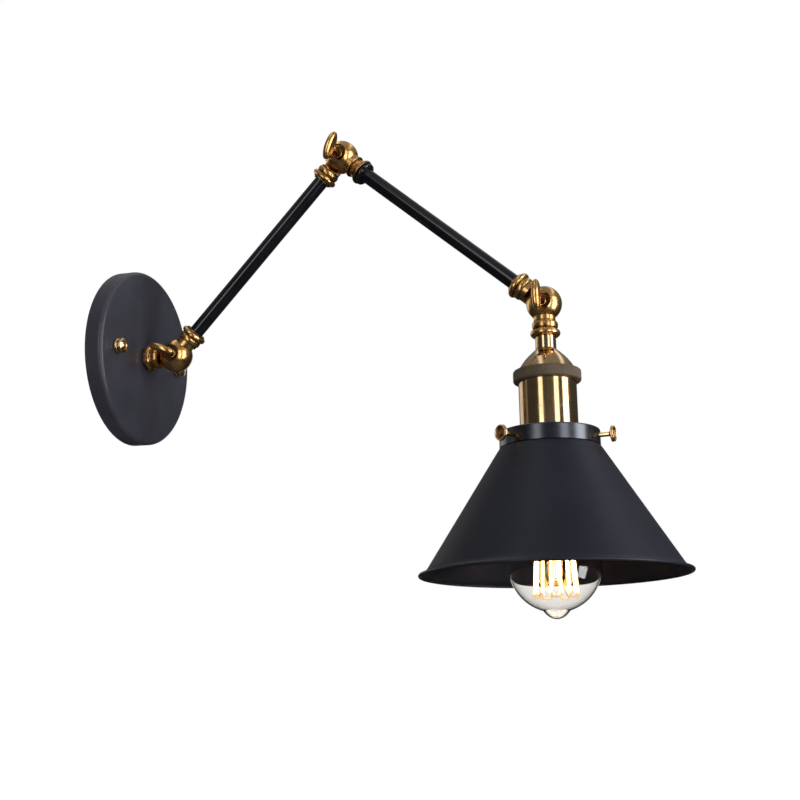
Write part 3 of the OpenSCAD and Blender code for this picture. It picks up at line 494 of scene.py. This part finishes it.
def wingKey(k):
    # oval paddle: x = L/2 sin^a v cos u, z = W/2 sin^a v sin u, thickness as cos^b v,
    # and each face a little hollow except across its middle
    u = np.linspace(0, 2 * np.pi, 96, endpoint=False)
    v = np.linspace(0, np.pi, 41)[:, None]
    out = np.sin(v) ** k["outline"]
    reach = out * k["length"] / 2 * np.abs(np.cos(u))
    hollow = np.exp(-(out / k["dishSize"]) ** 4) * (1 - np.exp(-(reach / k["bridge"]) ** 2 - 0.15))
    dish = 1 - k["dish"] * hollow
    x = k["length"] / 2 * out * np.cos(u)
    z = k["width"] / 2 * out * np.sin(u)
    y = k["middle"] / 2 * np.sign(np.cos(v)) * np.abs(np.cos(v)) ** k["crown"] * dish
    return np.stack([x, np.broadcast_to(y, x.shape), z + k["at"]], 2)


def wingFoot(k):
    # the screw, a swelling foot, and a waisted neck that runs up into the key
    foot, top, r, neck = k["foot"], k["foot"] + k["footH"], k["footR"], k["neckR"]
    at, edge = k["at"], k["at"] - k["width"] / 2
    return turned([
        line((0, -k["nutEnd"]), (k["screwR"], -k["nutEnd"]), (k["screwR"], foot), (r - 0.7, foot)),
        swell(foot + 0.05, top, r - 0.7, r)[1:],
        pulled((r - 1.0, top + 0.05), (neck + 0.3, top + 0.2), (neck - 0.2, top + 1.6), (neck, edge - 0.4)),
        pulled((neck + 0.1, edge + 0.2), (neck + 0.4, at - 3.6), (2.4, at - 3.0), (1.6, at - 2.4), 5),
        line((0, at - 2.4))], 72)


for body, (lean, joint) in wing["leans"].items():
    a = np.radians(lean)
    up = np.array([0, -np.sin(a), np.cos(a)])
    grids = [(placed(part(wing), joint, (-1, 0, 0), up), False, True) for part in (wingKey, wingFoot)]
    piece(body + "_key", grids, finishes["wingBrass"], body, [body + "_screw"], 40)
print("wing screws: three keys")

# knurled ring: fine straight ridges with rounded edges
knurl = {"r": 23.7, "top": 49.0, "height": 8.0, "edge": 1.3, "bore": 20.25, "ridges": 132, "depth": 0.22,
         "rows": 13}


def knurledRing(k):
    # r = profile - depth * (1 - |sin| of the ridges), fading to nothing on the rounded edges
    e, start, end = k["edge"], k["top"], k["top"] + k["height"]
    face = np.stack([np.full(k["rows"], k["r"]), np.linspace(start + e, end - e, k["rows"])], 1)
    profile = np.concatenate([
        line((k["bore"], end), (k["bore"], start), (k["r"] - e, start)),
        arc(k["r"] - e, start + e, e, -90, 0, 6)[1:], face[1:-1], arc(k["r"] - e, end - e, e, 0, 90, 6)])
    grid = turned(profile, k["ridges"] * 8)
    u = np.linspace(0, 2 * np.pi, grid.shape[1], endpoint=False)
    fade = np.clip((profile[:, 0] - (k["r"] - e * 0.5)) / (e * 0.5), 0, 1)[:, None]
    shrink = 1 - fade * k["depth"] * (1 - np.abs(np.sin(u * k["ridges"] / 2))) / k["r"]
    grid[:, :, 0] *= shrink
    grid[:, :, 1] *= shrink
    return grid


piece("knurledRing", [(onHead(knurledRing(knurl)), True, True)], finishes["darkBronze"],
      "lamp_head", ["knurled_ring"], 50)
print("knurled ring: cut")

# cap nuts: two turned tiers with a groove and a ring cut into the face, both dark with patina and painted
# shade
cap = {"r": 5.6, "height": 6.8, "spacing": 92.0, "angle": 2.0, "bore": 2.05, "boreH": 4.2,
       "lowTier": 1.3, "highTier": 1.5, "highAt": 4.85, "lip": 0.6, "waist": 0.8, "groove": (2.75, 3.3)}


def capNut(k):
    # the outline of a nut, and the patina and painted shade of each point: dark in the groove and in the
    # ring
    r, h, waist = k["r"], k["height"], k["r"] * k["waist"]
    return turnedParts([
        (line((0, k["boreH"]), (k["bore"], k["boreH"]), (k["bore"], 0), (waist, 0)), 0.3),
        (arc(r - k["lowTier"], k["lowTier"], k["lowTier"], -80, 80, 10), 0.0),
        (line(*((waist, z) for z in k["groove"])), 1.0),
        (arc(r - k["highTier"], k["highAt"], k["highTier"], -75, 60, 12), 0.0),
        (arc(r - 2.2, h - k["lip"], k["lip"], 50, 130, 5), 0.0),
        (line((2.75, h - 0.7), (2.45, h - 0.75)), 0.9),
        (pulled((2.2, h - 0.55), (1.7, h - 0.1), (0.9, h), (0, h), 8), 0.0)])


grids = []
for way in (-1, 1):
    a, reach = np.radians(cap["angle"]), cap["spacing"] / 2
    place = np.array([way * np.cos(a) * reach, -pose["plateDepth"], way * np.sin(a) * reach])
    grid, stainAndShade = capNut(cap)
    grids.append((placed(grid, place * mm, (0, -1, 0)), False, True, stainAndShade))
piece("capNutPair", grids, finishes["capBrass"], "wall_mount", ["cap_nuts"], 40)
print("cap nuts: two")

# thumbscrews: thin pin and a dished head with a rim, each with its angle round the fitter
thumb = {"at": 97.7, "tip": 32.45, "end": 45.75, "pinR": 1.6, "headR": 5.6, "headH": 2.8, "rim": 0.55,
         "bodies": {"front_thumb": (94.0, "thumbscrew_front"), "left_thumb": (214.0, "thumbscrew_left"),
                    "right_thumb": (334.0, "thumbscrew_right")}}


def thumbScrew(k):
    # the outline of a screw, and the patina and painted shade of each point: dark in the dished face
    r, pin, tip, end, rim = k["headR"], k["pinR"], k["tip"], k["end"], k["rim"]
    back = end - k["headH"]
    return turnedParts([
        (line((0, tip), (pin - 0.3, tip), (pin, tip + 0.3), (pin, back - 1.2)), 0.0),
        (pulled((pin, back - 1.1), (pin, back - 0.2), (2.2, back), (3.0, back), 5), 0.3),
        (line((r - 0.6, back + 0.5)), 0.0), (swell(back + 0.6, back + 1.7, r - 0.4, r, 10), 0.0),
        (arc(r - 0.7, end - rim, rim, 20, 160, 6), 0.0),
        (pulled((r - 1.3, end - 0.9), (r - 1.9, end - 1.5), (2.8, end - 1.6), (2.0, end - 1.1), 8), 1.0),
        (pulled((1.8, end - 1.0), (1.2, end - 0.7), (0.6, end - 0.6), (0, end - 0.6), 5), 0.8)])


squareAxis = np.cross(headAxis, (1, 0, 0))
for body, (angle, node) in thumb["bodies"].items():
    a = np.radians(angle)
    out = np.cos(a) * np.array([1.0, 0, 0]) + np.sin(a) * squareAxis
    grid, stainAndShade = thumbScrew(thumb)
    grids = [(placed(grid, jointThree + thumb["at"] * mm * headAxis, out, headAxis), False, True, stainAndShade)]
    piece(body + "_screw", grids, finishes["thumbBrass"], body, [node], 40)
print("thumbscrews: three")

# bulb: envelope with a pulled tip, glowing zigzag wire and screw base
bulb = {"baseFoot": 80.0, "baseEnd": 105.0, "baseR": 13.0, "lipR": 11.75, "pitch": 4.65, "ridge": 0.7,
        "runIn": 2.2, "runOut": 2.6, "neckR": 11.5, "shoulder": 108.0, "shoulderR": 14.6,
        "widest": 185.0, "wideR": 31.5, "roundEnd": 214.4, "tip": 220.0, "wall": 0.9, "pipR": 9.2,
        "cageTop": 138.0, "cageEnd": 205.0, "cageTopR": 8.0, "cageR": 14.5, "belly": 0.5, "bend": 0.9,
        "strands": 14, "wireR": 0.8}


def envelope(k, w):
    # the neck, a pulled curve to the widest place and an oval cap to the pip, drawn in by w
    rise = k["widest"] - k["shoulder"]
    capAngle = np.arccos(k["pipR"] / k["wideR"])
    a = np.linspace(0, capAngle, 27)[1:]
    neck, shoulder, low = k["neckR"] - w, k["shoulderR"] - w, k["wideR"] - w
    drop = k["roundEnd"] - k["widest"] - w
    return np.concatenate([
        line((neck, k["baseEnd"] - 6), (neck, k["baseEnd"] + w)),
        pulled((shoulder, k["shoulder"] + w), (shoulder, k["shoulder"] + rise * 0.3),
               (low, k["widest"] - rise * 0.55), (low, k["widest"]), 30),
        np.stack([low * np.cos(a), k["widest"] + drop * np.sin(a) / np.sin(capAngle)], 1)])


def pip(k):
    # the pulled tip: a curve down its outside to the axis, and one back up its inside
    r, end, tip = k["pipR"], k["roundEnd"], k["tip"]
    return [pulled((r - 0.3, end + 0.35), (r - 2.2, end + 3.4), (3.6, tip), (0, tip), 16),
            pulled((0, tip - 1.0), (3.2, tip - 1.0), (r - 3.0, end + 2.3), (r - 1.2, end - 0.5), 12)]


glass = [envelope(bulb, 0), *pip(bulb), envelope(bulb, bulb["wall"])[::-1]]
piece("bulbEnvelope", [(onHead(turned(glass, 160)), True, True)], finishes["bulbGlass"],
      "bulb", ["bulb_glass"], 60)


def tubePath(path, r, sides=8):
    # a round wire along a closed path: path + r (cos a N + sin a B), with N the way out from the
    # head's axis made square to the path, and B square to both
    t = np.roll(path, -1, 0) - np.roll(path, 1, 0)
    t /= np.linalg.norm(t, axis=1)[:, None]
    out = path * (1, 1, 0)
    out /= np.linalg.norm(out, axis=1)[:, None] + 1e-9
    n = out - np.sum(out * t, 1)[:, None] * t
    n /= np.linalg.norm(n, axis=1)[:, None]
    b = np.cross(t, n)
    a = np.linspace(0, 2 * np.pi, sides, endpoint=False)[None, :, None]
    return path[:, None] + r * (np.cos(a) * n[:, None] + np.sin(a) * b[:, None])


def filamentPath(k):
    # down one strand and up the next: the height swings between the two rings of the cage, and the
    # angle steps on at the bends
    points = []
    spread, drop = k["cageR"] - k["cageTopR"], k["cageEnd"] - k["cageTop"]
    for i in range(k["strands"]):
        a0, a1 = 2 * np.pi * i / k["strands"], 2 * np.pi * (i + 1) / k["strands"]
        down = i % 2 == 0
        h = np.linspace(0, 1, 15)[:-1] if down else np.linspace(1, 0, 15)[:-1]
        r = k["cageTopR"] + spread * h ** 0.8 + k["belly"] * np.sin(np.pi * h)
        z = k["cageTop"] + drop * h
        points.append(np.stack([r * np.cos(a0), r * np.sin(a0), z], 1))
        turn = np.linspace(0, 1, 6)[:-1]
        end = 1.0 if down else 0.0
        r = k["cageTopR"] + spread * end
        z = k["cageTop"] + drop * end + (k["bend"] if down else -k["bend"]) * np.sin(np.pi * turn)
        a = a0 + (a1 - a0) * turn
        points.append(np.stack([r * np.cos(a), r * np.sin(a), z], 1))
    return np.concatenate(points)


cage = onHead(tubePath(filamentPath(bulb), bulb["wireR"]))
piece("filamentCage", [(cage, True, True)], finishes["filamentGlow"],
      "bulb", ["filament"], 80)


def screwBase(k):
    # r = root + ridge * (1 + cos(2 pi z / pitch - u)) / 2: one start thread, smooth at both ends
    z = np.linspace(k["baseFoot"], k["baseEnd"], 91)[:, None]
    u = np.linspace(0, 2 * np.pi, 96, endpoint=False)
    fade = np.clip((z - k["baseFoot"]) / k["runIn"], 0, 1) * np.clip((k["baseEnd"] - z) / k["runOut"], 0, 1)
    r = k["baseR"] - k["ridge"] + k["ridge"] * fade * (1 + np.cos(2 * np.pi * z / k["pitch"] - u)) / 2
    shell = np.stack([r * np.cos(u), r * np.sin(u), np.broadcast_to(z, r.shape)], 2)
    low, lip = (np.stack([k["lipR"] * np.cos(u), k["lipR"] * np.sin(u), np.full(u.size, end)], 1)[None]
                for end in (k["baseFoot"], k["baseEnd"]))
    return np.concatenate([low, shell, lip])


piece("bulbScrewBase", [(onHead(screwBase(bulb)), True, True)], finishes["nickel"],
      "bulb", ["bulb_base"], 50)
print("bulb: envelope, filament and base")

# studio: pale floor and three tall soft lamps, each (angle from the camera, width, watts), in dim
# surroundings with window panes, each (angle from the camera, light, edge of the pane from and to)
studio = {"floor": -1.3, "floorHalf": 30.0,
          "lamps": [(-35.0, 0.5, 4.6), (26.0, 0.5, 6.0), (63.0, 0.7, 15.5)], "height": 2.0,
          "away": 1.75, "spread": 130.0, "centre": (0, -0.2, 0.05),
          "fill": 0.1, "dark": 0.055, "ceiling": 0.34, "front": 0.14, "mirrored": 0.2, "glow": 0.93,
          "windows": [(-132.0, 1.0, 0.80, 0.94), (172.0, 0.8, 0.93, 0.985)],
          "strip": 1.5, "strips": [(-0.165, -0.945, -0.282), (0.26, -0.787, 0.559)]}
camera = {"focal": 1336.62, "frame": 800.0, "sensor": 36.0, "nearest": 0.01,
          "target": (0, -0.15, 0.04), "distance": 1.011458, "azimuth": -66.745, "elevation": -17.2245,
          "panX": -94.565, "panY": -104.278, "roll": 0.539}


def setCamera(k):
    # an orbit round a point on the lamp, then small turns that place the object in the frame
    az, el = np.radians(k["azimuth"]), np.radians(k["elevation"])
    away = np.array([np.sin(az) * np.cos(el), -np.cos(az) * np.cos(el), np.sin(el)])
    right = np.cross(-away, (0, 0, 1))
    right /= np.linalg.norm(right)
    basis = Matrix((right, np.cross(right, -away), away)).transposed()
    basis = Matrix.Rotation(k["panX"] / k["focal"], 3, "Z") @ basis
    basis = basis @ Matrix.Rotation(k["panY"] / k["focal"], 3, "X")
    basis = basis @ Matrix.Rotation(np.radians(k["roll"]), 3, "Z")
    data = bpy.data.cameras.new("photoCamera")
    data.sensor_width, data.clip_start = k["sensor"], k["nearest"]
    data.lens = k["focal"] * k["sensor"] / k["frame"]
    seen = bpy.data.objects.new("photoCamera", data)
    spot = Vector(k["target"]) + Vector(away) * k["distance"]
    seen.matrix_world = Matrix.Translation(spot) @ basis.to_4x4()
    bpy.context.scene.collection.objects.link(seen)
    bpy.context.scene.camera = seen
    return away


away = setCamera(camera)
flat = np.array([away[0], away[1], 0]) / np.hypot(away[0], away[1])
side = np.cross(-flat, (0, 0, 1))


def towards(angle):
    # a level direction, turned by an angle from the camera's: cos a flat + sin a side
    a = np.radians(angle)
    return np.cos(a) * flat + np.sin(a) * side


for i, (angle, width, power) in enumerate(studio["lamps"]):
    direction = towards(angle)
    data = bpy.data.lights.new(f"softLamp{i}", "AREA")
    data.shape, data.size, data.size_y, data.energy = "RECTANGLE", width, studio["height"], power
    data.spread = np.radians(studio["spread"])
    lamp = bpy.data.objects.new(f"softLamp{i}", data)
    lamp.location = Vector(studio["centre"]) + Vector(direction) * studio["away"]
    lamp.rotation_euler = Vector(direction).to_track_quat("Z", "Y").to_euler()
    bpy.context.scene.collection.objects.link(lamp)


def surroundings(w):
    # dark at the sides and lighter overhead, with two strips, a patch ahead and the window panes
    direction = w.add("TexCoord", out="Generated")
    overhead = direction.reach((0, 0, 1))
    strips = 0.0
    for toward, sideways, up in studio["strips"]:
        # bright where the direction lies close to a plane through the object
        tilt = direction.reach(toward * flat + sideways * side + np.array([0, 0, up]))
        strips = ((1 - abs(tilt).step(0.04, 0.11)) * overhead.step(0.55, 0.85)).orMore(strips)
    dim = overhead.step(0.15, 0.95).mix(grey(studio["dark"]), grey(studio["ceiling"]))
    lit = strips.mix(dim, grey(studio["strip"]))
    lit = direction.reach(flat).step(0.86, 0.99).mix(lit, grey(studio["front"]))
    for angle, light, low, high in studio["windows"]:
        lit = direction.reach(towards(angle)).step(low, high).mix(lit, grey(light))
    plain = w.ray("Is Glossy Ray").mix(grey(studio["fill"]), lit)
    return w.seen().mix(plain, rgb(1, 1, 1))


world = bpy.data.worlds.new("studioWorld")
bpy.context.scene.world = world
world.use_nodes = True
world.node_tree.nodes.clear()
room = Wire(world.node_tree)
background = room.add("Background", {"Color": surroundings(room), "Strength": 1.0})
room.add("OutputWorld", {"Surface": background})

half = studio["floorHalf"]
corners = [(-half, -half, 0), (half, -half, 0), (half, half, 0), (-half, half, 0)]
floorMesh = bpy.data.meshes.new("floor")
floorMesh.from_pydata(corners, [], [(0, 1, 2, 3)])
floor = bpy.data.objects.new("floor", floorMesh)
floor.location = (0, 0, studio["floor"])
bpy.context.scene.collection.objects.link(floor)


def paleFloor(w):
    # pale to the eye and to diffuse light, darker in polished metal, with some light of its own
    # for the eye alone
    pale = w.noise(3.0, 2.0).step(0.3, 0.7).mix(grey(0.86), grey(0.9))
    return {"Base Color": w.ray("Is Glossy Ray").mix(pale, grey(studio["mirrored"])),
            "Emission Color": w.seen().mix(grey(0.0), grey(studio["glow"])),
            "Roughness": 0.7 + w.noise(40.0) * 0.2}


floorPaint = finishOf("paleFloor", {"Specular IOR Level": 0.2, "Emission Strength": 1.0}, paleFloor)
floorMesh.materials.append(floorPaint)
bpy.context.scene.view_settings.view_transform = "Standard"
print("studio: camera, lamps and floor")
